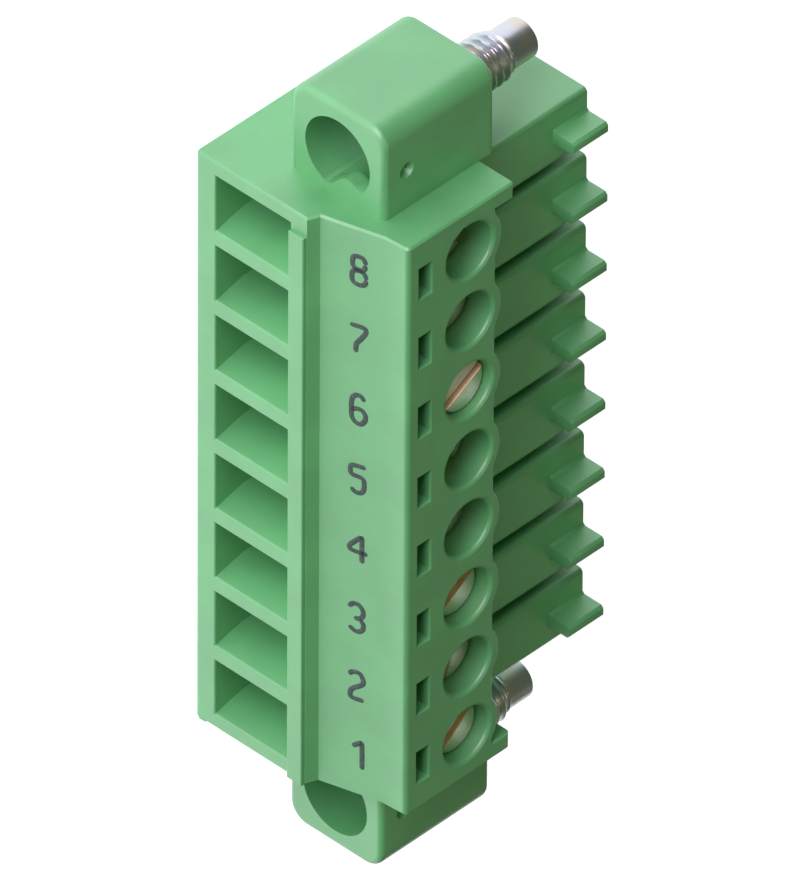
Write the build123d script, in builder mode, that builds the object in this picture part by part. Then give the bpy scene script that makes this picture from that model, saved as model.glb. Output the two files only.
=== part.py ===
"""Eight-pole pluggable terminal block, 3.81 mm pitch, with two screw flanges.

X runs along the row of poles, from pole 8 at -X to pole 1 at +X.
Y is the plugging direction: wires enter the -Y face, the plug nose points to +Y.
Z runs from the circuit-board side up to the side that the screwdriver reaches.
The origin is on the underside, below the middle of the row of terminal screws.
All lengths are in millimetres.
"""
from build123d import *
import os

# Row of poles
pitch = 3.81                 # from one pole to the next
poles = 8
end_margin = 0.36            # end wall beyond half a pitch
body_length = poles * pitch + 2 * end_margin
half_body = body_length / 2
pole_xs = [(i - (poles - 1) / 2) * pitch for i in range(poles)]
pole_names = [poles - i for i in range(poles)]

# Section of the housing, depths from the wire face and heights from the underside
screw_depth = 5.27           # wire face to the row of screw axes
tower_behind = 1.52          # screw axes to the back of the screw tower
shoulder_behind = 1.14       # back of the tower to the shoulder that the header meets
body_height = 11.1
step_height = 6.6            # top of the flat wire face
root_height = 6.83           # foot of the numbered face
root_depth = 0.56
bend_drop = 1.31             # top face down to where the numbered face turns upright
bend_depth = 1.39
brow_depth = 1.49            # numbered face at the top edge
edge_radius = 0.25           # long edges of the body
rim_chamfer = 0.1            # edges round the two end faces
overrun = 1.0                # how far a cutter runs past the face it opens
grain = 0.005                # half the window used to pick out an edge by its place

wire_y = -screw_depth
tower_y = tower_behind
shoulder_y = tower_y + shoulder_behind
bend_height = body_height - bend_drop

# Grip rail across the wire face, on the upper edge of the wire mouths
rail_high = 6.55
rail_proud = 0.2
rail_start = 1.04            # rail begins this far from the pole 8 end
rail_radius = 0.07

# Foot ridge on the pole 1 end, at the circuit-board side
ridge_height = 0.5
ridge_proud = 0.3
ridge_radius = 0.2

# End walls that stand behind the tower, and the rounded columns round the screws
cheek_thickness = 0.85
column_radius = 1.9
column_blend = 0.5           # hollow between two columns

# Plug nose: one finger for each pole, with a coding rib on each
nose_length = 7.38
nose_top = 8.24
nose_rise = 2.6              # nose above the underside, room for the header's floor
nose_inset = 0.84            # nose shorter than the body at each end
slit_width = 0.63            # gap between two fingers
slit_depth = 2.2
finger_radius = 0.25
rib_height = 1.24
rib_length = 2.1
rib_width = 0.62
rib_shift = 0.06             # rib off the middle of its finger
rib_tip_chamfer = 0.13
rib_root_chamfer = 0.12

nose_y = shoulder_y + nose_length
half_nose = half_body - nose_inset

# Wire mouths, narrowing to a passage
mouth_width = 3.0
mouth_low = 1.2
mouth_high = 5.66
funnel_depth = 1.7
passage_width = 2.06
passage_low = 1.25

# Screw holes and test slots
hole_radius = 1.38
slot_width = 0.72
slot_length = 1.7
slot_offset = 2.72           # test slot centre before the screw axis
slot_depth = 4.0

# Contact: a current bar with a two-leaf spring that grips the header's pin
bar_height = 4.3             # centre line of the bar and of the pin
bar_thickness = 0.6
bar_half_width = 0.8
bar_front = 1.62             # bar begins this far before the screw axis
bar_clearance = 0.05         # round the bar in its slot
fork_web = 0.8
leaf_thickness = 0.28
leaf_half_width = 0.62
leaf_root_gap = 0.42         # half the gap between the leaves at the web
leaf_nip_gap = 0.3           # half the gap where they grip the pin
leaf_mouth_gap = 0.6         # half the gap at the flared end
flare_length = 1.0
flare_recess = 0.6           # flared end to the face of the nose

# Clamp sleeve: a cage round the current bar, pulled up by its screw
sleeve_half_width = 1.4
sleeve_half_length = 1.4
sleeve_wall = 0.33
sleeve_floor = 0.6
sleeve_roof = 0.8
sleeve_low = 0.9             # underside of an open sleeve
sleeve_edge = 0.15           # chamfer along its corners
slide_clearance = 0.08       # round the sleeve in its chamber
thread_clearance = 0.05      # round the clamp screw in the sleeve
stop_gap = 0.05              # between parts that meet at the end of their travel

# Clamp screws, M2
clamp_radius = 1.0
clamp_head_radius = 1.3
clamp_head_height = 1.2
clamp_slot_width = 0.42
clamp_slot_depth = 0.55
head_sink = 1.6              # depth of the lowest heads below the top face
# A screw floats together with its sleeve: how far each pair stands up, pole 8 first
lift_shares = [0.05, 0.12, 0.72, 0.05, 0.08, 0.5, 0.28, 0.52]
# Where each screwdriver slot points, as a share of half a turn, pole 8 first
turn_shares = [0.3, 0.82, 0.66, 0.1, 0.45, 0.68, 0.9, 0.72]

# Contact chamber in each finger
chamber_half_width = 0.85
chamber_half_height = 1.25
chamber_wall = 1.05          # between the clamp chamber and the contact chamber
chamber_lead = 0.2           # chamfer where the pin enters

# Flange blocks
flange_front = 2.09          # wire face to the front of the block
flange_length = 6.7
flange_low = 3.6
flange_high = 9.09
flange_out = 4.76            # beyond the body's end face
flange_radius = 1.0
flange_chamfer = 0.18        # round the front and back faces
flange_axis_out = 2.06       # screw axis beyond the body's end face
flange_bore_radius = 1.9
flange_seat = 1.75           # web that the screw head pulls on
stake_depth = 1.37           # staking dimple behind the block's front face
stake_radius = 0.4
stake_sink = 0.35
stake_slope = 25             # degrees, side of the dimple
burr_radius = 0.42           # raised inside the bore by the staking
burr_rise = 0.22
nub_length = 0.8             # moulded nub in the mouth of the bore, holds the head in
nub_base = 0.05              # how far the nub is rooted in the wall
# Outline of the nub from the bore's axis, as shares of the bore's radius: towards the body, upwards
nub_shares = [(0.93, -0.34), (0.75, -0.04), (0.52, 0.24), (0.56, 0.48), (0.68, 0.79)]
dovetail_depth = 0.4
dovetail_root = 1.6
dovetail_tip = 2.2
dovetail_start = 0.3         # dovetail begins behind the block's front face
dovetail_clearance = 0.03

# Flange screws, M2.5, captive in the blocks
flange_screw_radius = 1.25
flange_screw_clearance = 0.07
flange_shank_radius = 1.0    # plain shank inside the block
flange_thread_gap = 0.15     # thread begins this far beyond the block's back face
flange_head_radius = 1.72
flange_head_height = 1.5
flange_thread_out = 2.5      # the full thread ends this far beyond the block's back face
flange_taper = 0.7
flange_pilot_radius = 0.98
flange_pilot_length = 1.36
flange_pilot_bevel = 0.1
flange_slot_width = 0.6
flange_slot_depth = 0.7

# Heights and places that follow from the sizes above
bar_top = bar_height + bar_thickness / 2
bar_bottom = bar_height - bar_thickness / 2
clamp_tip = bar_top + stop_gap
clamp_head_high = body_height - head_sink
clamp_head_low = clamp_head_high - clamp_head_height
sleeve_high = bar_top + 2 * stop_gap + sleeve_roof
sleeve_travel = bar_bottom - stop_gap - sleeve_low - sleeve_floor
lifts = [share * head_sink for share in lift_shares]
clamp_chamber_high = sleeve_high + sleeve_travel + slide_clearance
clamp_chamber_back = sleeve_half_length + slide_clearance
chamber_front = clamp_chamber_back + chamber_wall
leaf_root_y = chamber_front + fork_web
leaf_mouth_y = nose_y - flare_recess
leaf_nip_y = leaf_mouth_y - flare_length
flange_y = wire_y + flange_front
flange_back_y = flange_y + flange_length
flange_mid = (flange_low + flange_high) / 2
flange_axis_x = half_body + flange_axis_out
dovetail_y = flange_y + dovetail_start

os.makedirs("parts", exist_ok=True)


def save(part, label):
    """Name a finished piece and write it as its own file."""
    part.label = label
    export_step(part, f"parts/{label}.step")
    print(f"{label}: {part.volume:.3f} mm3")


def cross_plane(x):
    """Plane across the row at x, with Y to the right and Z up."""
    return Plane(origin=(x, 0, 0), x_dir=(0, 1, 0), z_dir=(1, 0, 0))


def facing_plane(y):
    """Plane that faces the wire side at y, with X to the right and Z up."""
    return Plane(origin=(0, y, 0), x_dir=(1, 0, 0), z_dir=(0, -1, 0))


def level_plane(z):
    """Plane parallel to the underside at height z."""
    return Plane.XY.offset(z)


def dovetail(side, clearance):
    """Corners, in X and Z, of the dovetail that points into the body's end on one side."""
    face_x = side * half_body
    deep_x = side * (half_body - dovetail_depth - clearance)
    root = dovetail_root / 2 + clearance
    tip = dovetail_tip / 2 + clearance
    return [
        (face_x, flange_mid - root),
        (deep_x, flange_mid - tip),
        (deep_x, flange_mid + tip),
        (face_x, flange_mid + root),
    ]


# Funnels of the wire mouths: a wedge seen from the side, where it meets wedges seen from above
funnel_y = wire_y + funnel_depth
with BuildPart() as funnels:
    with BuildSketch(cross_plane(-half_body)):
        with BuildLine():
            Polyline(
                (wire_y, mouth_low),
                (wire_y, mouth_high),
                (funnel_y, bar_bottom),
                (funnel_y, passage_low),
                close=True,
            )
        make_face()
    extrude(amount=body_length)
    with BuildSketch():
        for x in pole_xs:
            with BuildLine():
                Polyline(
                    (x - mouth_width / 2, wire_y),
                    (x + mouth_width / 2, wire_y),
                    (x + passage_width / 2, funnel_y),
                    (x - passage_width / 2, funnel_y),
                    close=True,
                )
            make_face()
    extrude(amount=body_height, mode=Mode.INTERSECT)

# Housing, one moulding: body and screw tower, with an end wall at each end
with BuildPart() as housing:
    with BuildSketch(cross_plane(-half_body)) as section:
        with BuildLine():
            Polyline(
                (wire_y, 0),
                (wire_y, step_height),
                (wire_y + root_depth, root_height),
                (wire_y + bend_depth, bend_height),
                (wire_y + brow_depth, body_height),
                (shoulder_y, body_height),
                (shoulder_y, 0),
                close=True,
            )
        make_face()
        levels = section.vertices().group_by(Axis.Y)
        fillet(levels[0] + levels[-1], edge_radius)
    extrude(amount=body_length)
    for end_face in housing.faces().filter_by(Axis.X):
        chamfer(end_face.edges(), rim_chamfer)

    # Recess behind the tower, between the two end walls
    with BuildSketch(level_plane(nose_top)):
        with Locations((0, tower_y)):
            Rectangle(
                body_length - 2 * cheek_thickness,
                shoulder_behind + overrun,
                align=(Align.CENTER, Align.MIN),
            )
    extrude(amount=body_height - nose_top + overrun, mode=Mode.SUBTRACT)

    # Columns round the screw holes, blended into the back of the tower
    with BuildSketch(level_plane(nose_top)):
        with GridLocations(pitch, 0, poles, 1):
            Circle(column_radius)
    extrude(amount=body_height - nose_top)
    upright = housing.edges().filter_by(Axis.Z)
    at_wall = upright.filter_by_position(Axis.Y, tower_y - grain, tower_y + grain)
    fillet(at_wall.sort_by(Axis.X)[1:-1], column_blend)

    # Plug nose, split into fingers by slits from above
    with BuildSketch(facing_plane(shoulder_y)) as nose_section:
        with Locations((0, nose_rise)):
            Rectangle(2 * half_nose, nose_top - nose_rise, align=(Align.CENTER, Align.MIN))
        with Locations((0, nose_top)):
            with GridLocations(pitch, 0, poles - 1, 1):
                Rectangle(slit_width, 2 * slit_depth, mode=Mode.SUBTRACT)
        fillet(nose_section.vertices().group_by(Axis.Y)[-1], finger_radius)
    extrude(amount=-nose_length)

    # Coding rib on each finger
    with BuildSketch(facing_plane(nose_y)):
        with Locations((rib_shift, nose_top)):
            with GridLocations(pitch, 0, poles, 1):
                Rectangle(rib_width, rib_height, align=(Align.CENTER, Align.MIN))
    extrude(amount=rib_length)
    rib_high = nose_top + rib_height
    rib_y = nose_y - rib_length
    tips = housing.edges().filter_by_position(Axis.Z, rib_high - grain, rib_high + grain)
    chamfer(tips.filter_by(Axis.Y), rib_tip_chamfer)
    roots = housing.edges().filter_by_position(Axis.Z, nose_top - grain, nose_top + grain)
    beside = roots.filter_by_position(Axis.Y, nose_y - rib_length / 2 - grain, nose_y - rib_length / 2 + grain)
    chamfer(beside, rib_root_chamfer)

    # Grip rail
    with BuildSketch(facing_plane(wire_y)):
        with Locations((-half_body + rail_start, mouth_high)):
            Rectangle(body_length - rail_start, rail_high - mouth_high, align=(Align.MIN, Align.MIN))
    extrude(amount=rail_proud)
    front_edges = housing.edges().group_by(Axis.Y)[0]
    fillet(front_edges, rail_radius)

    # Foot ridge
    with BuildSketch(cross_plane(half_body - edge_radius)):
        with Locations((wire_y + edge_radius, 0)):
            Rectangle(
                shoulder_y - wire_y - edge_radius, ridge_height, align=(Align.MIN, Align.MIN)
            )
    extrude(amount=ridge_proud + edge_radius)
    ridge_x = half_body + ridge_proud
    ridge_edges = housing.edges().filter_by_position(Axis.X, ridge_x - grain, ridge_x + grain)
    fillet(ridge_edges.filter_by(Axis.Y).sort_by(Axis.Z)[-1], ridge_radius)

    # Wire mouths, narrowing to the passages
    add(funnels.part, mode=Mode.SUBTRACT)
    with BuildSketch(facing_plane(funnel_y)):
        with Locations((0, passage_low)):
            with GridLocations(pitch, 0, poles, 1):
                Rectangle(passage_width, bar_bottom - passage_low, align=(Align.CENTER, Align.MIN))
    extrude(amount=-(screw_depth - funnel_depth), mode=Mode.SUBTRACT)

    # Clamp chambers, and the screw holes that lead down to them
    with BuildSketch(level_plane(sleeve_low - slide_clearance)):
        with GridLocations(pitch, 0, poles, 1):
            Rectangle(2 * (sleeve_half_width + slide_clearance), 2 * clamp_chamber_back)
    extrude(amount=clamp_chamber_high - sleeve_low + slide_clearance, mode=Mode.SUBTRACT)
    with BuildSketch(level_plane(body_height)):
        with GridLocations(pitch, 0, poles, 1):
            Circle(hole_radius)
    extrude(amount=-(body_height - clamp_chamber_high), mode=Mode.SUBTRACT)

    # Test slots
    with BuildSketch(level_plane(body_height)):
        with Locations((0, -slot_offset)):
            with GridLocations(pitch, 0, poles, 1):
                Rectangle(slot_length, slot_width)
    extrude(amount=-slot_depth, mode=Mode.SUBTRACT)

    # Slots for the current bars, and the contact chambers open at the nose
    with BuildSketch(facing_plane(-bar_front - bar_clearance)):
        with Locations((0, bar_height)):
            with GridLocations(pitch, 0, poles, 1):
                Rectangle(2 * (bar_half_width + bar_clearance), bar_thickness + 2 * bar_clearance)
    extrude(amount=-(bar_front + bar_clearance + chamber_front), mode=Mode.SUBTRACT)
    with BuildSketch(facing_plane(chamber_front)):
        with Locations((0, bar_height)):
            with GridLocations(pitch, 0, poles, 1):
                Rectangle(2 * chamber_half_width, 2 * chamber_half_height)
    extrude(amount=-(nose_y - chamber_front), mode=Mode.SUBTRACT)
    for opening in housing.faces().sort_by(Axis.Y)[-1].inner_wires():
        chamfer(opening.edges(), chamber_lead)

    # Grooves for the dovetails of the flange blocks
    for side in (-1, 1):
        with BuildSketch(facing_plane(dovetail_y - dovetail_clearance)):
            with BuildLine():
                Polyline(*dovetail(side, dovetail_clearance), close=True)
            make_face()
        extrude(amount=-(shoulder_y - dovetail_y + dovetail_clearance), mode=Mode.SUBTRACT)
save(housing.part, "housing")

# Flange blocks, one at each end, and their captive screws
for side, end in ((-1, "pole_8"), (1, "pole_1")):
    axis_x = side * flange_axis_x
    with BuildPart() as flange:
        with BuildSketch(facing_plane(flange_y)) as outline:
            with Locations((side * (half_body + flange_out / 2), flange_mid)):
                Rectangle(flange_out, flange_high - flange_low)
            fillet(outline.vertices().sort_by(Axis.X, reverse=side < 0)[-2:], flange_radius)
        extrude(amount=-flange_length)
        rims = flange.faces().filter_by(Axis.Y).edges()
        outer_rims = rims.sort_by(Axis.X, reverse=side < 0)[2:]
        chamfer(outer_rims, flange_chamfer)

        # Bore for the screw head, and the hole for the thread
        with BuildSketch(facing_plane(flange_y)):
            with Locations((axis_x, flange_mid)):
                Circle(flange_bore_radius)
        extrude(amount=-(flange_length - flange_seat), mode=Mode.SUBTRACT)
        with BuildSketch(facing_plane(flange_y)):
            with Locations((axis_x, flange_mid)):
                Circle(flange_screw_radius + flange_screw_clearance)
        extrude(amount=-flange_length, mode=Mode.SUBTRACT)

        # Nub in the mouth of the bore, on the side of the body
        with BuildSketch(facing_plane(flange_y)):
            with Locations((axis_x, flange_mid)):
                Circle(flange_bore_radius + nub_base)
            with BuildLine():
                crest = [
                    (axis_x - side * a * flange_bore_radius, flange_mid + b * flange_bore_radius)
                    for a, b in nub_shares
                ]
                Spline(*crest)
                Polyline(
                    crest[-1],
                    (side * half_body, crest[-1][1]),
                    (side * half_body, crest[0][1]),
                    crest[0],
                )
            make_face(mode=Mode.INTERSECT)
        extrude(amount=-nub_length)

        # Dimple pressed into the top, and the burr that it raises in the bore
        stake_y = flange_y + stake_depth
        with BuildSketch(level_plane(flange_high)):
            with Locations((axis_x, stake_y)):
                Circle(stake_radius)
        extrude(amount=-stake_sink, taper=stake_slope, mode=Mode.SUBTRACT)
        with BuildSketch(level_plane(flange_mid + flange_bore_radius + nub_base)):
            with Locations((axis_x, stake_y)):
                Circle(burr_radius)
        extrude(amount=-(burr_rise + nub_base), taper=stake_slope)

        # Dovetail that slides into the groove in the housing
        with BuildSketch(facing_plane(dovetail_y)):
            with BuildLine():
                Polyline(*dovetail(side, 0), close=True)
            make_face()
        extrude(amount=-(shoulder_y - dovetail_y))
    save(flange.part, f"flange_{end}")

    # Flange screw, turned about its own axis
    head_y = flange_back_y - flange_seat - stop_gap
    thread_y = flange_back_y + flange_thread_out
    pilot_y = thread_y + flange_taper
    end_y = pilot_y + flange_pilot_length
    with BuildPart() as flange_screw:
        with BuildSketch(Plane((axis_x, 0, flange_mid), x_dir=(1, 0, 0), z_dir=(0, 0, 1))):
            with BuildLine():
                Polyline(
                    (0, head_y - flange_head_height),
                    (flange_head_radius, head_y - flange_head_height),
                    (flange_head_radius, head_y),
                    (flange_shank_radius, head_y),
                    (flange_shank_radius, flange_back_y + flange_thread_gap),
                    (flange_screw_radius, flange_back_y + flange_thread_gap),
                    (flange_screw_radius, thread_y),
                    (flange_pilot_radius, pilot_y),
                    (flange_pilot_radius, end_y - flange_pilot_bevel),
                    (flange_pilot_radius - flange_pilot_bevel, end_y),
                    (0, end_y),
                    close=True,
                )
            make_face()
        revolve(axis=Axis((axis_x, 0, flange_mid), (0, 1, 0)))
        with BuildSketch(facing_plane(head_y - flange_head_height)):
            with Locations((axis_x, flange_mid)):
                Rectangle(2 * flange_head_radius, flange_slot_width)
        extrude(amount=-flange_slot_depth, mode=Mode.SUBTRACT)
    save(flange_screw.part, f"flange_screw_{end}")

# Clamp screw, clamp sleeve and contact of each pole
for pole, x, lift, turn in zip(pole_names, pole_xs, lifts, turn_shares):
    with BuildPart() as clamp_screw:
        with BuildSketch(level_plane(clamp_tip + lift)):
            with Locations((x, 0)):
                Circle(clamp_radius)
        extrude(amount=clamp_head_low - clamp_tip)
        with BuildSketch(level_plane(clamp_head_low + lift)):
            with Locations((x, 0)):
                Circle(clamp_head_radius)
        extrude(amount=clamp_head_height)
        with BuildSketch(level_plane(clamp_head_high + lift)):
            with Locations(Location((x, 0), turn * 180)):
                Rectangle(2 * clamp_head_radius, clamp_slot_width)
        extrude(amount=-clamp_slot_depth, mode=Mode.SUBTRACT)
    save(clamp_screw.part, f"clamp_screw_{pole}")

    with BuildPart() as sleeve:
        with BuildSketch(facing_plane(-sleeve_half_length)) as cage:
            with Locations((x, sleeve_low + lift)):
                Rectangle(2 * sleeve_half_width, sleeve_high - sleeve_low, align=(Align.CENTER, Align.MIN))
            chamfer(cage.vertices(), sleeve_edge)
            with Locations((x, sleeve_low + sleeve_floor + lift)):
                Rectangle(
                    2 * (sleeve_half_width - sleeve_wall),
                    sleeve_high - sleeve_roof - sleeve_low - sleeve_floor,
                    align=(Align.CENTER, Align.MIN),
                    mode=Mode.SUBTRACT,
                )
        extrude(amount=-2 * sleeve_half_length)
        with BuildSketch(level_plane(sleeve_high + lift)):
            with Locations((x, 0)):
                Circle(clamp_radius + thread_clearance)
        extrude(amount=-sleeve_roof, mode=Mode.SUBTRACT)
    save(sleeve.part, f"clamp_sleeve_{pole}")

    with BuildPart() as contact:
        with BuildSketch(facing_plane(-bar_front)):
            with Locations((x, bar_height)):
                Rectangle(2 * bar_half_width, bar_thickness)
        extrude(amount=-(bar_front + leaf_root_y))
        with BuildSketch(facing_plane(chamber_front)):
            with Locations((x, bar_height)):
                Rectangle(2 * leaf_half_width, 2 * (leaf_root_gap + leaf_thickness))
        extrude(amount=-fork_web)
        with BuildSketch(cross_plane(x - leaf_half_width)):
            for way in (-1, 1):
                with BuildLine():
                    Polyline(
                        (leaf_root_y, bar_height + way * leaf_root_gap),
                        (leaf_nip_y, bar_height + way * leaf_nip_gap),
                        (leaf_mouth_y, bar_height + way * leaf_mouth_gap),
                        (leaf_mouth_y, bar_height + way * (leaf_mouth_gap + leaf_thickness)),
                        (leaf_nip_y, bar_height + way * (leaf_nip_gap + leaf_thickness)),
                        (leaf_root_y, bar_height + way * (leaf_root_gap + leaf_thickness)),
                        close=True,
                    )
                make_face()
        extrude(amount=2 * leaf_half_width)
    save(contact.part, f"contact_{pole}")
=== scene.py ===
# %% [markdown]
# # A pluggable terminal block, dressed
#
# The object is a green plug for a circuit board: eight wires enter one side, eight small screws
# clamp them, and a screw in a flange at each end holds the plug in its header.
# The solids come finished from the CAD model. This script gives them their looks: edges that
# catch the light, moulded plastic, plated metal, screw threads and the printed pole numbers.
#
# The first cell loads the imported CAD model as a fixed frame. Everything below is in metres, in
# that same frame, so a new piece goes exactly where the CAD says.

# %% Load the frame
import math

import bmesh
import bpy
import numpy as np
from mathutils import Matrix, Vector


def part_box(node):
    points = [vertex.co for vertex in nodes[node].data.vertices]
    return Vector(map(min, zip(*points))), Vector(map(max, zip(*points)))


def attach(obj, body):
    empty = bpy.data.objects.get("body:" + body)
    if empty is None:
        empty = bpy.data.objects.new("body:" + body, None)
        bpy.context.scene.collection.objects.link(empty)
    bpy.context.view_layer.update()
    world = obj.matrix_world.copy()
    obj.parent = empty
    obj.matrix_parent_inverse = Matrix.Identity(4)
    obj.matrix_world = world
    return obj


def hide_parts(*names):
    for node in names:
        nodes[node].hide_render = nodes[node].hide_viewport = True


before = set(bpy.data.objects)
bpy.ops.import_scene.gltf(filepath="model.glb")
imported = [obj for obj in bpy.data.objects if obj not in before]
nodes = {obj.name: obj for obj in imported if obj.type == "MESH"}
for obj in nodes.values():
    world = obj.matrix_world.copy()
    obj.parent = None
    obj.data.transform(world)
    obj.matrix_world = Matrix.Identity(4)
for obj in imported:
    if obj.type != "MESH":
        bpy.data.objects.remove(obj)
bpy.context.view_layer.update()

MM = 0.001
poles = range(8, 0, -1)


# %% [markdown]
# ## Shader maths as Python
#
# A material is a graph of small boxes. Wiring each box by hand hides the formula, so this class
# wraps one output socket and lets Python's own operators add the Math boxes: `1 - mask` or
# `noise * 0.1 + 0.4` then reads as the formula that it is. Colours and vectors don't fit Math
# boxes, so they have methods of their own.


# %% A wire that Python can calculate with
class Wire:
    """One output socket of a material's graph."""

    def __init__(self, tree, socket):
        self.tree, self.socket = tree, socket

    def node(self, kind, settings=None, inputs=None, output=0):
        """Adds a node: its settings first, then the values or links of its sockets."""
        made = self.tree.nodes.new(kind)
        for name, value in (settings or {}).items():
            setattr(made, name, value)
        for name, value in (inputs or {}).items():
            if isinstance(value, Wire):
                self.tree.links.new(value.socket, made.inputs[name])
            else:
                made.inputs[name].default_value = value
        return Wire(self.tree, made.outputs[output])

    def maths(self, operation, other):
        """A Math node on this wire and a second operand."""
        return self.node("ShaderNodeMath", {"operation": operation}, {0: self, 1: other})

    def __add__(self, other):
        return self.maths("ADD", other)

    __radd__ = __add__

    def __mul__(self, other):
        return self.maths("MULTIPLY", other)

    __rmul__ = __mul__

    def __sub__(self, other):
        return self.maths("SUBTRACT", other)

    def __rsub__(self, other):
        return (self * -1) + other

    def step(self, low, high):
        """0 below low, 1 above high, and a smooth rise between them."""
        inputs = {"Value": self, "From Min": low, "From Max": high}
        return self.node("ShaderNodeMapRange", {"interpolation_type": "SMOOTHSTEP"}, inputs)

    def blend(self, first, second):
        """Mixes two colours by this wire, 0 for the first and 1 for the second."""
        inputs = {0: self, 6: (*first, 1), 7: (*second, 1)}
        return self.node("ShaderNodeMix", {"data_type": "RGBA"}, inputs, output=2)


def new_material(name, **constants):
    """Returns a material, its Principled shader node and a wire of its Object coordinates.
    The constants are values that are the same all over, set on the shader's own sockets."""
    material = bpy.data.materials.new(name)
    material.use_nodes = True
    tree = material.node_tree
    shader = tree.nodes["Principled BSDF"]
    for socket, value in constants.items():
        shader.inputs[socket.replace("_", " ")].default_value = value
    place = Wire(tree, tree.nodes.new("ShaderNodeTexCoord").outputs["Object"])
    return material, shader, place


def feed(shader, socket, wire):
    """Links a wire to one of the shader's sockets."""
    wire.tree.links.new(wire.socket, shader.inputs[socket])


def noise(place, size, detail):
    """Noise from 0 to 1 whose blobs are about size metres across."""
    moved = place.node("ShaderNodeMapping", inputs={"Vector": place, "Scale": (1 / size,) * 3})
    inputs = {"Vector": moved, "Scale": 1.0, "Detail": detail}
    return place.node("ShaderNodeTexNoise", {"normalize": True}, inputs)


def bump(height, depth, strength):
    """A normal from a height of 0 to 1 that stands for depth metres."""
    inputs = {"Strength": strength, "Distance": depth, "Height": height}
    return height.node("ShaderNodeBump", inputs=inputs)


# %% [markdown]
# ## Moulded plastic
#
# The housing and the flange blocks are moulded in one green polyamide. Such plastic is satin, not
# glossy: the mould leaves a fine grain, the colour clouds a little where the melt flowed, and the
# surface isn't quite flat. Each of these is faint, so each is a small amplitude round one value.
# The base colour is a deep green. What looks pale on the outer faces is the lamps and the bright
# floor, mirrored softly in the skin of the plastic. Deep in the grooves little of them is seen, and
# the green stays deep. So the skin gets a strong reflection and a broad coat on top.

# %% Green plastic
CLOUD_SIZE, WAVE_SIZE, GRAIN_SIZE, SINK_DEPTH = 2.6 * MM, 1.7 * MM, 0.09 * MM, 0.004 * MM
DARKER, LIGHTER = 0.93, 1.05                                # times the base colour
SATIN, GRAIN_ROUGHENS, CLOUDS_ROUGHEN = 0.46, 0.16, 0.08    # roughness, and how far it wanders
GRAIN_HEIGHT = 0.25                                         # of the waves' height


def green_plastic(name, base):
    """Satin moulded plastic: clouded colour, fine grain, and slow waves of sinking."""
    material, shader, place = new_material(
        name, IOR=1.55, Specular_IOR_Level=0.9, Coat_Weight=0.7, Coat_Roughness=0.5, Coat_IOR=1.45)
    clouds = noise(place, CLOUD_SIZE, detail=4)
    grain = noise(place, GRAIN_SIZE, detail=2)
    waves = noise(place, WAVE_SIZE, detail=1)
    darker, lighter = (tuple(c * share for c in base) for share in (DARKER, LIGHTER))
    feed(shader, "Base Color", clouds.step(0.3, 0.7).blend(darker, lighter))
    rough = SATIN + (grain - 0.5) * GRAIN_ROUGHENS + (clouds - 0.5) * CLOUDS_ROUGHEN
    feed(shader, "Roughness", rough)
    feed(shader, "Normal", bump(grain * GRAIN_HEIGHT + waves, SINK_DEPTH, strength=0.8))
    return material


plastic = green_plastic("green_polyamide", (0.10, 0.395, 0.135))
print("made", plastic.name)

# %% [markdown]
# ## Plated metal
#
# The screws are steel with bright nickel plate, the clamps are brass with duller nickel, and the
# contacts are tinned. Plate is never quite one colour: it leans to a warmer tint in slow patches,
# and fine specks break up its highlight. The tints and the roughness tell the metals apart.

# %% Metals
PATCH_SIZE, SPECK_SIZE, SPECK_DEPTH = 0.8 * MM, 0.05 * MM, 0.002 * MM
SPECKS_ROUGHEN, PATCHES_ROUGHEN = 0.12, 0.06    # how far the roughness wanders


def plated(name, base, tint, roughness):
    """Plated metal: a base colour with slow patches of a tint, and fine specks."""
    material, shader, place = new_material(name, Metallic=1.0)
    patches = noise(place, PATCH_SIZE, detail=3).step(0.35, 0.7)
    specks = noise(place, SPECK_SIZE, detail=2)
    feed(shader, "Base Color", patches.blend(base, tint))
    rough = roughness + (specks - 0.5) * SPECKS_ROUGHEN + (patches - 0.5) * PATCHES_ROUGHEN
    feed(shader, "Roughness", rough)
    feed(shader, "Normal", bump(specks, SPECK_DEPTH, strength=0.7))
    return material


nickel = plated("nickel_plate", (0.60, 0.63, 0.72), (0.66, 0.62, 0.56), 0.38)
screw_nickel = plated("terminal_screw_plate", (0.97, 0.91, 0.86), (0.92, 0.78, 0.66), 0.40)
# painted light: the slots' copper-brown metal is made lighter than the shade in a narrow slot would
# leave it
slot_painted_lighter = plated("screw_slot_painted_lighter", (1.0, 0.84, 0.62), (0.90, 0.72, 0.50), 0.6)
sleeve_nickel = plated("sleeve_plate", (0.66, 0.64, 0.58), (0.58, 0.55, 0.48), 0.38)
tin = plated("tinned_contact", (0.74, 0.73, 0.70), (0.66, 0.65, 0.62), 0.42)
print("made", [metal.name for metal in (nickel, screw_nickel, slot_painted_lighter, sleeve_nickel, tin)])

# %% [markdown]
# ## Ink
#
# Pad-printing ink is a thin matt film. It is a little uneven, and the green shows through where it
# is thinnest, so its colour wanders between a dark grey and a greener grey.

# %% Ink
FILM_SIZE = 0.12 * MM


def printed_ink(name, dark, thin):
    """Matt printing ink: dark, and greener where a fine noise says that the film is thin."""
    material, shader, place = new_material(name, IOR=1.4)
    film = noise(place, FILM_SIZE, detail=3)
    feed(shader, "Base Color", film.step(0.45, 0.8).blend(dark, thin))
    feed(shader, "Roughness", film * 0.2 + 0.5)
    return material


ink = printed_ink("pad_printing_ink", (0.045, 0.07, 0.062), (0.09, 0.16, 0.12))
print("made", ink.name)

# %% [markdown]
# ## Edges that catch the light
#
# A mould or a press leaves a small round on every edge. One width doesn't fit all edges here: a
# Bevel modifier that clamps its width lets the tightest corner decide for the whole housing. So
# the edges that catch the eye get their own rounds first, by bevel weight: the rims of the screw
# holes and of the mouths, the other edges of the top face, and the edges of the flange blocks.
# Whether an edge is one of them is told from where its two ends lie.

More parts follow.
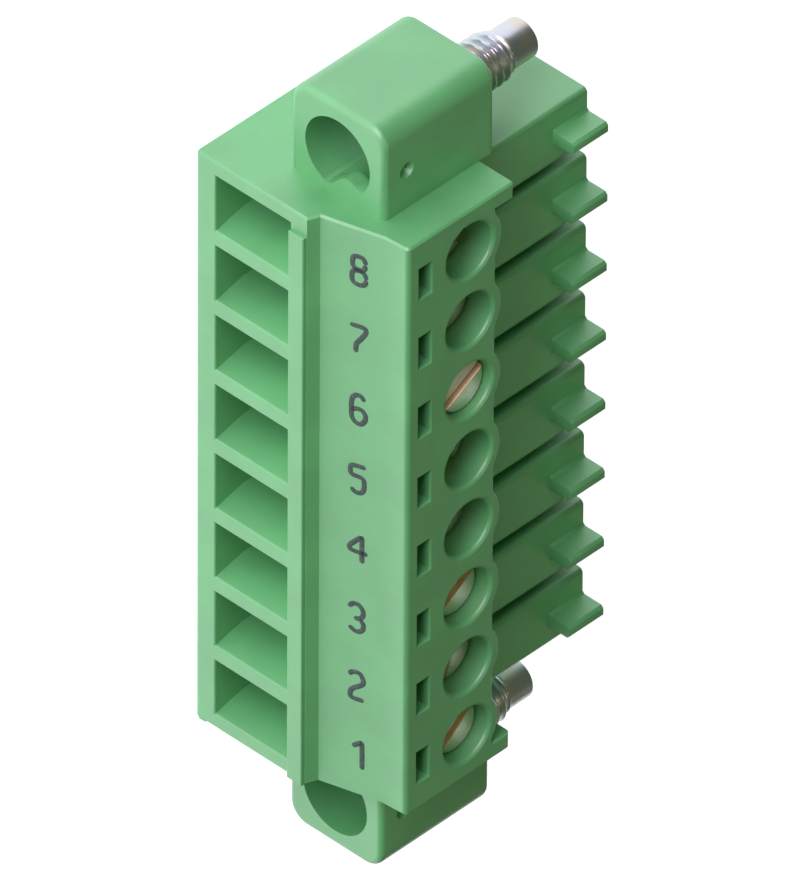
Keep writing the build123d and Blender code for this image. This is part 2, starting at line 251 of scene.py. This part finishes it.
# %% Which edges are soft
NEAR = 0.02 * MM                                # closer than this counts as in the same place
HOLE_RADIUS, HOLE_ROUND = 1.38 * MM, 0.2 * MM   # the holes over the terminal screws, their rims
EDGE_ROUND, FLANGE_ROUND = 0.09 * MM, 0.12 * MM
END_CLEAR, SEAM_CLEAR = 5 * EDGE_ROUND, 2 * FLANGE_ROUND
WIRE_FACE_Y = -5.27 * MM                        # the face that the wires enter
MOUTH_LOW, MOUTH_HIGH = 1.2 * MM, 5.66 * MM     # its mouths, from bottom to top
BORE_CLEAR = 2.3 * MM                           # round a flange bore's axis, edges stay crisp
house_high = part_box("housing")[1]
hole_xs = [sum(corner[0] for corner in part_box(f"clamp_screw_{pole}")) / 2 for pole in poles]
bore_x, _, bore_z = (sum(ends) / 2 for ends in zip(*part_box("flange_screw_pole_1")))
print("screw holes at x in mm:", [round(x / MM, 3) for x in hole_xs])


def housing_round(ends):
    """Round for a housing edge, given its two ends: wide on a screw hole's rim, narrow on the
    other edges of the top face and on the rims of the mouths, and none elsewhere."""
    x, y, z = ends.T
    on_top = np.all(abs(z - house_high[2]) < NEAR)
    if on_top and np.all(abs(x) < house_high[0] - END_CLEAR):
        off_rim = [np.max(abs(np.hypot(x - hole_x, y) - HOLE_RADIUS)) for hole_x in hole_xs]
        return HOLE_ROUND if min(off_rim) < NEAR else EDGE_ROUND
    on_wire_face = np.all(abs(y - WIRE_FACE_Y) < NEAR)
    beside_mouth = np.all(z > MOUTH_LOW - NEAR) and np.all(z < MOUTH_HIGH + NEAR)
    return EDGE_ROUND if on_wire_face and beside_mouth else 0


def flange_round(ends):
    """Round for a flange block's edge: none near the screw's bore or against the housing."""
    off_bore = np.hypot(abs(ends[:, 0]) - abs(bore_x), ends[:, 2] - bore_z) > BORE_CLEAR
    off_housing = np.max(abs(ends[:, 0])) > house_high[0] + SEAM_CLEAR
    return FLANGE_ROUND if np.all(off_bore) and off_housing else 0


# %% [markdown]
# ## Copies with rounded edges
#
# The CAD nodes arrive as loose triangles. In a copy, the doubled corners are merged and the flat
# areas joined again, so that an edge has one face on either side. Then come the modifiers: on the
# green mouldings the chosen rounds, on every piece a fine round of the other sharp edges as far as
# the tightest corner allows, and weighted normals, which let the large faces lead the shading, so
# that flat stays flat.

# %% Rounded copies of the CAD nodes
MERGE, FLAT, SHARP = 0.0005 * MM, math.radians(1), math.radians(30)
SPARE_SHARE = 0.45    # of a face's width that one round may take
MOULDED_EDGE, PRESSED_EDGE, STAMPED_EDGE = 0.05 * MM, 0.04 * MM, 0.03 * MM


def bevel_room(edge):
    """The widest round that an edge can take: not quite half the width of its narrower face."""
    return SPARE_SHARE * min(face.calc_area() / edge.calc_length() for face in edge.link_faces)


def merged_mesh(node, soft):
    """A copy of a node's mesh with shared corners, flat areas joined, and the chosen rounds as
    edge weights. A weight of 1 stands for the widest round, HOLE_ROUND."""
    mesh = nodes[node].data.copy()
    work = bmesh.new()
    work.from_mesh(mesh)
    bmesh.ops.remove_doubles(work, verts=work.verts, dist=MERGE)
    bmesh.ops.dissolve_limit(work, angle_limit=FLAT, verts=work.verts, edges=work.edges)
    for face in work.faces:
        face.smooth = True
    weight = work.edges.layers.float.new("bevel_weight_edge")
    for edge in work.edges:
        if soft and edge.is_manifold and edge.calc_face_angle(0) > SHARP:
            wanted = soft(np.array([corner.co for corner in edge.verts]))
            edge[weight] = min(wanted, bevel_room(edge)) / HOLE_ROUND
    work.to_mesh(mesh)
    work.free()
    return mesh


def add_bevel(piece, name, width, segments, method, clamp):
    """Adds a Bevel modifier that picks its edges by method, WEIGHT or ANGLE."""
    bevel = piece.modifiers.new(name, "BEVEL")
    bevel.width = width
    bevel.segments = segments
    bevel.limit_method = method
    bevel.angle_limit = SHARP
    bevel.use_clamp_overlap = clamp


def rounded_copy(node, width, material, body, soft=None):
    """A merged copy of a CAD node with its sharp edges rounded. It replaces the node.
    Soft is a function that gives an edge's own round from its two ends."""
    mesh = merged_mesh(node, soft)
    mesh.materials.clear()
    mesh.materials.append(material)
    piece = bpy.data.objects.new(f"{node}_finished", mesh)
    bpy.context.scene.collection.objects.link(piece)
    if soft:
        add_bevel(piece, "soft_edges", HOLE_ROUND, 4, "WEIGHT", clamp=False)
    add_bevel(piece, "rounded_edges", width, 2, "ANGLE", clamp=True)
    piece.modifiers.new("flat_stays_flat", "WEIGHTED_NORMAL").weight = 100
    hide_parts(node)
    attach(piece, body)
    print(node, "faces:", len(mesh.polygons))


rounded_copy("housing", MOULDED_EDGE, plastic, "body", housing_round)
for node in ("flange_pole_8", "flange_pole_1"):
    rounded_copy(node, MOULDED_EDGE, plastic, "body", flange_round)
for pole in poles:
    sleeve, contact = f"clamp_sleeve_{pole}", f"contact_{pole}"
    rounded_copy(sleeve, PRESSED_EDGE, sleeve_nickel, sleeve)
    rounded_copy(contact, STAMPED_EDGE, tin, "body")

# %% [markdown]
# ## Rings joined to a surface
#
# A screw, a half-moon of its head and the stroke of a numeral are one kind of surface: a row of
# rings, each ring a closed loop of points. With the rings in one numpy array of the shape rings by
# points by 3, the faces between them are plain index sums, and two caps close the ends.

# %% Rings to a mesh
CRISP = math.radians(40)    # a steeper edge between two faces isn't smoothed


def ring_faces(rings, first):
    """Quads between neighbouring rings, numbered from first: point j of ring i is number
    first + i * points + j. The two end rings become caps, the first one turned over."""
    count, points = rings.shape[:2]
    i, j = np.meshgrid(np.arange(count - 1), np.arange(points), indexing="ij")
    near, far = i * points + j, i * points + (j + 1) % points
    quads = np.stack([near, far, far + points, near + points], axis=-1).reshape(-1, 4) + first
    loop = np.arange(points) + first
    return quads.tolist() + [loop[::-1].tolist(), (loop + (count - 1) * points).tolist()]


def ring_piece(name, surfaces, material, body, replaced=()):
    """One object from several ring surfaces. It may replace CAD nodes."""
    points, faces = [], []
    for rings in surfaces:
        faces += ring_faces(rings, len(points))
        points += rings.reshape(-1, 3).tolist()
    mesh = bpy.data.meshes.new(name)
    mesh.from_pydata(points, [], faces)
    mesh.polygons.foreach_set("use_smooth", [True] * len(mesh.polygons))
    mesh.set_sharp_from_angle(angle=CRISP)
    mesh.materials.append(material)
    piece = bpy.data.objects.new(name, mesh)
    bpy.context.scene.collection.objects.link(piece)
    if replaced:
        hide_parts(*replaced)
    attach(piece, body)
    return piece


print("a tube of 3 rings by 8 points has", len(ring_faces(np.zeros((3, 8, 3)), 0)), "faces")

# %% [markdown]
# ## Screws with real threads
#
# A thread is a ridge that climbs one pitch in each turn. On a grid of height by angle, the place
# in the pitch is height / pitch - angle / full turn, and its fraction says crest or root. So the
# radius is one formula for the whole shank, and an envelope trims it to the neck and the taper.
# A slotted head is two half-moons with the slot between them.

# %% Threaded shank
ROOT_SHARE, FLANK_SHARE = 0.14, 0.68    # of half a pitch: the flat root, then the flank
FADE_SHARE = 0.5                        # of a pitch, over which a thread begins and ends
RINGS_PER_PITCH = 14
DEPTH_LIMIT = 1.02                      # times its depth, the deepest that a thread may cut
BEND_BELOW, BEND_IN = 0.35, 0.3         # of a head's bevel: where it bends, downwards and inwards
CHORD_IN = 0.3                          # of the arc's inset, how far the chord is drawn in


def thread_radius(height, angle, pitch, outer, depth):
    """Radius of a right-handed thread. The fraction of height / pitch - angle / turn gives a
    triangle wave between 0 at the root and 1 at the crest, cut flat at both ends."""
    fraction = (height / pitch - angle / (2 * np.pi)) % 1.0
    wave = 1 - np.abs(2 * fraction - 1)
    return outer - depth * (1 - np.clip((wave - ROOT_SHARE) / FLANK_SHARE, 0, 1))


def shank(envelope, thread_from, thread_to, pitch, outer, depth, points):
    """Rings of a shank whose axis is +Z: the envelope is a list of (height, radius), and the
    thread is cut into it between two heights, fading in and out over a part of the pitch."""
    heights, radii = np.array(envelope).T
    fine = np.arange(thread_from, thread_to, pitch / RINGS_PER_PITCH)
    steps = np.unique(np.concatenate([heights, fine]))
    angle = np.linspace(0, 2 * np.pi, points, endpoint=False)
    h, a = np.meshgrid(steps, angle, indexing="ij")
    limit = np.interp(h, heights, radii)
    inside = np.clip(np.minimum(h - thread_from, thread_to - h) / (FADE_SHARE * pitch), 0, 1)
    cut = (outer - thread_radius(h, a, pitch, outer, depth)) * inside
    r = np.minimum(limit, np.maximum(limit - cut, outer - depth * DEPTH_LIMIT))
    return np.stack([r * np.cos(a), r * np.sin(a), h], axis=-1)


def half_moons(radius, gap, low, high, bevel, points):
    """Two half-moon blocks on either side of a slot along X. Each outline is an arc and its
    chord, at four heights: two up to the bevel, and two that draw it in. The arc starts at the
    angle whose sine is half the slot over the radius, so its ends lie on the slot's wall."""
    bend = (high - bevel * BEND_BELOW, bevel * BEND_IN)
    layers = ((low, 0), (high - bevel, 0), bend, (high, bevel))
    blocks = []
    for side in (0, np.pi):
        block = []
        for height, inset in layers:
            r = radius - inset
            start = math.asin((gap / 2 + inset * CHORD_IN) / r)
            t = side + np.linspace(start, np.pi - start, points)
            block.append(np.stack([r * np.cos(t), r * np.sin(t), np.full(points, height)], axis=-1))
        blocks.append(np.array(block))
    return blocks


# %% [markdown]
# ## Terminal screws
#
# Each M2 terminal screw stands upright in its hole. Its head has one straight slot, and since every
# screw was left at its own turn, the eight slots point eight ways, as the CAD says. The slot's walls
# and floor take a copper-brown metal, painted lighter than the shade of a narrow slot, for the light on
# its wall.

# %% Terminal screws
HEAD_RADIUS, HEAD_HEIGHT, HEAD_BEVEL, HEAD_FOOT = 1.3, 1.2, 0.12, 0.05    # here and below in mm
SLOT_DEPTH, SLOT_WIDTH, SLOT_MARGIN = 0.55, 0.42, 0.03
M2_RADIUS, M2_PITCH, M2_DEPTH = 1.0, 0.4, 0.23
POINT_RADIUS, POINT_LENGTH = 0.72, 0.28
THREAD_START, PLAIN_NECK = 0.05, 0.3    # plain stretches at the tip and under the head
LAP, NUDGE, HAIR = 0.01, 0.02, 0.001    # an overlap of two parts, and two small steps
turn_shares = dict(zip(poles, (0.3, 0.82, 0.66, 0.1, 0.45, 0.68, 0.9, 0.72)))    # of half a turn
half_pitch = np.array([0, M2_PITCH / 2])
root_and_crest = thread_radius(half_pitch, 0, M2_PITCH, M2_RADIUS, M2_DEPTH)
print("radius of the thread's root and crest in mm:", root_and_crest.round(3))
for pole in poles:
    node = f"clamp_screw_{pole}"
    low, high = (np.array(corner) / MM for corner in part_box(node))
    tip, top = low[2], high[2]
    neck, slot_floor = top - HEAD_HEIGHT, top - SLOT_DEPTH
    envelope = [
        (tip, POINT_RADIUS), (tip + POINT_LENGTH, M2_RADIUS), (neck - NUDGE, M2_RADIUS),
        (neck, M2_RADIUS), (neck + HAIR, HEAD_RADIUS - HEAD_FOOT),
        (neck + HEAD_FOOT, HEAD_RADIUS), (slot_floor, HEAD_RADIUS),
    ]
    thread = (tip + THREAD_START, neck - PLAIN_NECK, M2_PITCH, M2_RADIUS, M2_DEPTH)
    moons = half_moons(HEAD_RADIUS, SLOT_WIDTH, slot_floor - LAP, top, HEAD_BEVEL, points=40)
    turn = turn_shares[pole] * np.pi
    c, s = math.cos(turn), math.sin(turn)
    spin = np.array([[c, s, 0], [-s, c, 0], [0, 0, 1]])
    centre = np.array([(low[0] + high[0]) / 2, (low[1] + high[1]) / 2, 0])
    placed = [(rings @ spin + centre) * MM for rings in (shank(envelope, *thread, points=64), *moons)]
    name = f"terminal_screw_{pole}"
    piece = ring_piece(name, placed, screw_nickel, node, [node])
    # a face belongs to the slot if its middle lies close to the slot's plane, below the rim
    faces = piece.data.polygons
    middles = np.empty(len(faces) * 3)
    faces.foreach_get("center", middles)
    x, y, z = (middles.reshape(-1, 3) / MM - centre).T
    in_slot = abs(c * y - s * x) < SLOT_WIDTH / 2 + SLOT_MARGIN
    in_slot &= (z > slot_floor - NUDGE) & (z < top - NUDGE)
    # the slot's faces take the copper brown that is painted lighter, for the light that falls on the
    # slot's wall
    piece.data.materials.append(slot_painted_lighter)
    faces.foreach_set("material_index", in_slot.astype(np.int32))
    print(piece.name, "faces:", len(faces), "in the slot:", int(in_slot.sum()))

# %% [markdown]
# ## Flange screws
#
# An M2.5 screw lies in each flange block, along the plugging direction. Only its thread and its
# plain pilot stand out behind the block. The shank inside is thinner, so the screw stays captive.

# %% Flange screws
BIG_RADIUS, BIG_HEIGHT, BIG_SLOT_DEPTH, BIG_SLOT_WIDTH = 1.72, 1.5, 0.8, 0.6
M25_RADIUS, M25_PITCH, M25_DEPTH = 1.25, 0.45, 0.24
THIN_RADIUS, THREAD_OUT = 1.0, 2.5      # the thin shank, and how far the thread stands out
TAPER, FADED, PILOT_RADIUS = 0.7, 0.66, 0.985    # past full thread: its taper, its end, the pilot
SHOULDER = (0.13, 0.15, 0.17)           # behind the block: thin shank, thread's start, full radius
# the pilot's round end, as steps back from the tip and the radius there
PILOT_ROUND = ((0.14, 0.98), (0.09, 0.965), (0.04, 0.91), (0.01, 0.82), (0, 0.7))
for end in ("pole_8", "pole_1"):
    node = f"flange_screw_{end}"
    low, high = (np.array(corner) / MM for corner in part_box(node))
    start, tip = low[1], high[1]
    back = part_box(f"flange_{end}")[1][1] / MM
    head_back, thread_end = start + BIG_HEIGHT, back + THREAD_OUT
    envelope = [
        (start + BIG_SLOT_DEPTH, BIG_RADIUS), (head_back - HEAD_FOOT, BIG_RADIUS),
        (head_back, BIG_RADIUS - HEAD_FOOT), (head_back + HAIR, THIN_RADIUS),
        (back + SHOULDER[0], THIN_RADIUS), (back + SHOULDER[2], M25_RADIUS),
        (thread_end, M25_RADIUS), (thread_end + TAPER, PILOT_RADIUS),
        *((tip - below, radius) for below, radius in PILOT_ROUND),
    ]
    thread = (back + SHOULDER[1], thread_end + FADED, M25_PITCH, M25_RADIUS, M25_DEPTH)
    # the head looks to -Y: its half-moons grow along +Z, then they are turned over and moved up
    deep = BIG_SLOT_DEPTH + LAP
    moons = half_moons(BIG_RADIUS, BIG_SLOT_WIDTH, 0, deep, HEAD_BEVEL, points=56)
    lifted = [(moon * (1, 1, -1))[::-1] + (0, 0, start + deep) for moon in moons]
    axis = np.array([(low[0] + high[0]) / 2, 0, (low[2] + high[2]) / 2])
    # (x, y, z) becomes (y, z, x): a turn that keeps the hand of the thread, with Z along +Y
    surfaces = (shank(envelope, *thread, points=96), *lifted)
    placed = [(rings[..., [1, 2, 0]] + axis) * MM for rings in surfaces]
    piece = ring_piece(f"flange_screw_threaded_{end}", placed, nickel, node, [node])
    print(piece.name, "faces:", len(piece.data.polygons))

# %% [markdown]
# ## Printed pole numbers
#
# The numerals are pad-printed on the sloping face beside the screws, each turned to read from the
# pole 1 end. A numeral is a few pen strokes. Each stroke is a thin ribbon swept along its centre
# line, with round ends, and it stands a few thousandths of a millimetre proud, as ink does.

# %% The strokes of each numeral
SQUARED = 0.75    # 1 gives a true oval, less draws it out towards the corners of its box
loop = np.linspace(0, 2 * np.pi, 25)


def oval(middle, half_width, half_height):
    """Points round a squarish oval: cosine and sine, each raised to a power below 1."""
    x, y = np.cos(loop), np.sin(loop)
    return np.stack([middle[0] + half_width * np.sign(x) * abs(x) ** SQUARED,
                     middle[1] + half_height * np.sign(y) * abs(y) ** SQUARED], axis=-1)


strokes = {
    8: [oval((-0.08, 0.4), 0.31, 0.36), oval((-0.08, -0.4), 0.34, 0.38)],
    7: [[(-0.5, 0.75), (0.28, 0.78), (0.28, 0.5), (0, 0.05), (-0.2, -0.2), (-0.22, -0.7)]],
    6: [[(0.22, 0.55), (0.05, 0.8), (-0.2, 0.8), (-0.42, 0.5), (-0.42, -0.5), (-0.2, -0.75),
         (0.05, -0.78), (0.25, -0.5), (0.28, -0.2), (0.1, 0.05), (-0.2, 0.05), (-0.42, -0.1)]],
    5: [[(0.3, 0.72), (-0.3, 0.72), (-0.45, 0.6), (-0.45, 0.15), (0.1, 0.15), (0.22, 0), (0.22, -0.5),
         (0.05, -0.75), (-0.25, -0.75), (-0.42, -0.55)]],
    4: [[(0.12, 0.75), (0.12, -0.75)],
        [(0.12, 0.7), (-0.45, 0.1), (-0.5, -0.1), (-0.4, -0.2), (0.4, -0.2)]],
    3: [[(-0.5, 0.45), (-0.3, 0.72), (0, 0.72), (0.2, 0.45), (0.2, 0.15), (0.05, -0.05), (-0.25, -0.1)],
        [(0.05, -0.1), (0.22, -0.3), (0.2, -0.6), (0, -0.8), (-0.25, -0.78), (-0.5, -0.6)]],
    2: [[(-0.48, 0.5), (-0.35, 0.7), (-0.1, 0.77), (0.1, 0.7), (0.23, 0.4), (0.2, 0.15), (-0.3, -0.2),
         (-0.42, -0.4), (-0.42, -0.75), (0.25, -0.72)]],
    1: [[(-0.3, 0.4), (0.1, 0.72), (0.17, 0.72), (0.17, -0.75)]],
}
print("strokes:", {numeral: len(lines) for numeral, lines in strokes.items()})

# %% [markdown]
# ### From strokes to ink
#
# The pen lines are given by few points, so their corners are first cut twice, as a real pen rounds
# them, and then the line is spread to even steps, which gives the ribbon an even mesh. The ribbon
# is laid on the sloping face by three directions: along the reading line, up the numeral, and out.

# %% Numerals on the face
STROKE_WIDTH, INK_HEIGHT, INK_GAP = 0.25, 0.008, 0.001
CORNER_SHARE, PEN_STEP, FEWEST_STEPS = 0.22, 0.035, 8
TOP_SHARE, TIGHT_SHARE = 0.9, 0.97      # the ribbon's narrower top, and how far its ends close
GLYPH_Z = 8.7                           # the height of the numerals' middles


def smoothed(line):
    """A pen line with its corners cut twice, then spread to even steps along its length."""
    line = np.array(line, float)
    keep = 1 - CORNER_SHARE
    for _ in range(2):
        near, far = line[:-1], line[1:]
        pair = [near * keep + far * CORNER_SHARE, near * CORNER_SHARE + far * keep]
        line = np.concatenate([line[:1], np.stack(pair, axis=1).reshape(-1, 2), line[-1:]])
    run = np.concatenate([[0], np.cumsum(np.hypot(*np.diff(line, axis=0).T))])
    even = np.linspace(0, run[-1], max(FEWEST_STEPS, int(run[-1] / PEN_STEP)))
    return np.stack([np.interp(even, run, line[:, 0]), np.interp(even, run, line[:, 1])], axis=-1), even


def ribbon(line):
    """Rings of a stroke: at each point a flat four-cornered section across the line, whose half
    width follows a circle near both ends, so that the stroke ends round."""
    path, run = smoothed(line)
    ahead = np.gradient(path, axis=0)
    ahead /= np.linalg.norm(ahead, axis=1)[:, None]
    across = np.stack([-ahead[:, 1], ahead[:, 0]], axis=-1)
    r = STROKE_WIDTH / 2
    near_end = np.minimum(run, run[-1] - run)
    half = np.sqrt(r**2 - np.clip(r - near_end, 0, r * TIGHT_SHARE) ** 2)
    corners = []
    for side, height in ((1, 0), (-1, 0), (-TOP_SHARE, INK_HEIGHT), (TOP_SHARE, INK_HEIGHT)):
        flat = path + across * (half * side)[:, None]
        corners.append(np.concatenate([flat, np.full((len(flat), 1), height)], axis=1))
    return np.stack(corners, axis=1)


# the lower and the upper edge of the sloping face, as Y and Z
face_low, face_high = np.array([-4.71, 6.83]), np.array([-3.88, 9.79])
slope = (face_high - face_low) / np.linalg.norm(face_high - face_low)
reading, upward = np.array([0, *slope]), np.array([-1.0, 0, 0])
outward = np.array([0, -slope[1], slope[0]])
turned = np.array([reading, upward, outward])
on_face = face_low + slope * (GLYPH_Z - face_low[1]) / slope[1]
for pole, hole_x in zip(poles, hole_xs):
    middle = np.array([hole_x / MM, *on_face]) + outward * INK_GAP
    placed = [(ribbon(line) @ turned + middle) * MM for line in strokes[pole]]
    ring_piece(f"numeral_{pole}", placed, ink, "body")
print("numerals:", len(strokes), "on the face at", on_face.round(3))

# %% [markdown]
# ## Floor, light and camera
#
# The object lies on a plain pale floor that shines by itself, as a lit studio table does, so it
# stays white although the lamps are weak. The two strongest soft lights stand low beyond the corner
# between the pole 8 end and the wire side, so the face with the terminal screws stays in soft
# shade. A very weak light stands on the far side, for the screws' heads to mirror, and a soft warm
# one hangs above. The world adds a dim greenish light, for what the lamps leave dark.
# The camera is far away with a very long lens, which keeps the block's edges nearly parallel. Its
# place and turn were fitted to the photograph, from the even poles and the block's long edges.

# %% Floor
FLOOR_SIDE = 6.0
bpy.ops.mesh.primitive_plane_add(size=FLOOR_SIDE, location=(0, 0, 0))
floor = bpy.context.object
floor.name = "floor"
floor_material, floor_shader, _ = new_material("pale_floor", Roughness=0.9)
floor_shader.inputs["Base Color"].default_value = (0.85, 0.85, 0.85, 1)
floor_shader.inputs["Emission Color"].default_value = (0.92, 0.94, 1, 1)
floor_shader.inputs["Emission Strength"].default_value = 0.98
floor.data.materials.append(floor_material)
print("floor:", FLOOR_SIDE, "m square")

# %% Lights
COOL, WARM = (1.12, 0.94, 1.16), (0.98, 1, 0.76)
TARGET = Vector((0, 0, 0.005))    # the middle of the block


def softbox(name, place, size, power, colour):
    """A square area light at place, turned to face the block."""
    lamp = bpy.data.lights.new(name, "AREA")
    lamp.size = size
    lamp.energy = power
    lamp.color = colour
    box = bpy.data.objects.new(name, lamp)
    box.location = place
    box.rotation_euler = (TARGET - Vector(place)).to_track_quat("-Z", "Y").to_euler()
    bpy.context.scene.collection.objects.link(box)


softbox("end_light", (-0.29, -0.155, 0.10), 0.15, 0.43, COOL)
softbox("wire_side_light", (-0.18, -0.27, 0.08), 0.15, 0.54, COOL)
softbox("screw_head_light", (0.20, 0.17, 0.17), 0.10, 0.01, WARM)
softbox("top_light", (0.02, 0.0, 0.36), 0.16, 0.14, WARM)
world = bpy.data.worlds.new("studio")
world.use_nodes = True
room = world.node_tree.nodes["Background"].inputs
room["Color"].default_value = (0.84, 1, 0.62, 1)
room["Strength"].default_value = 0.11
bpy.context.scene.world = world
bpy.context.scene.view_settings.view_transform = "Standard"
print("lights:", len(bpy.data.lights))

# %% Camera
# where it stands, and the directions of its right side, its top and its back
CAMERA_PLACE = (-1.02546583, -0.88895625, 0.86475485)
CAMERA_RIGHT = (-0.00410518, 0.69679794, 0.71725572)
CAMERA_UP = (-0.76961282, 0.45577232, -0.44717749)
CAMERA_BACK = (-0.63849766, -0.55384494, 0.5343936)
camera = bpy.data.objects.new("camera", bpy.data.cameras.new("camera"))
camera.data.lens = 1547.6
camera.data.sensor_width = 36
camera.data.clip_end = 20
turn = Matrix((CAMERA_RIGHT, CAMERA_UP, CAMERA_BACK)).transposed().to_4x4()
camera.matrix_world = Matrix.Translation(CAMERA_PLACE) @ turn
bpy.context.scene.collection.objects.link(camera)
bpy.context.scene.camera = camera
print("camera at", CAMERA_PLACE)

# %% [markdown]
# ## The last update
#
# The view layer is brought up to date at the end.

# %% Bring the view layer up to date
bpy.context.view_layer.update()
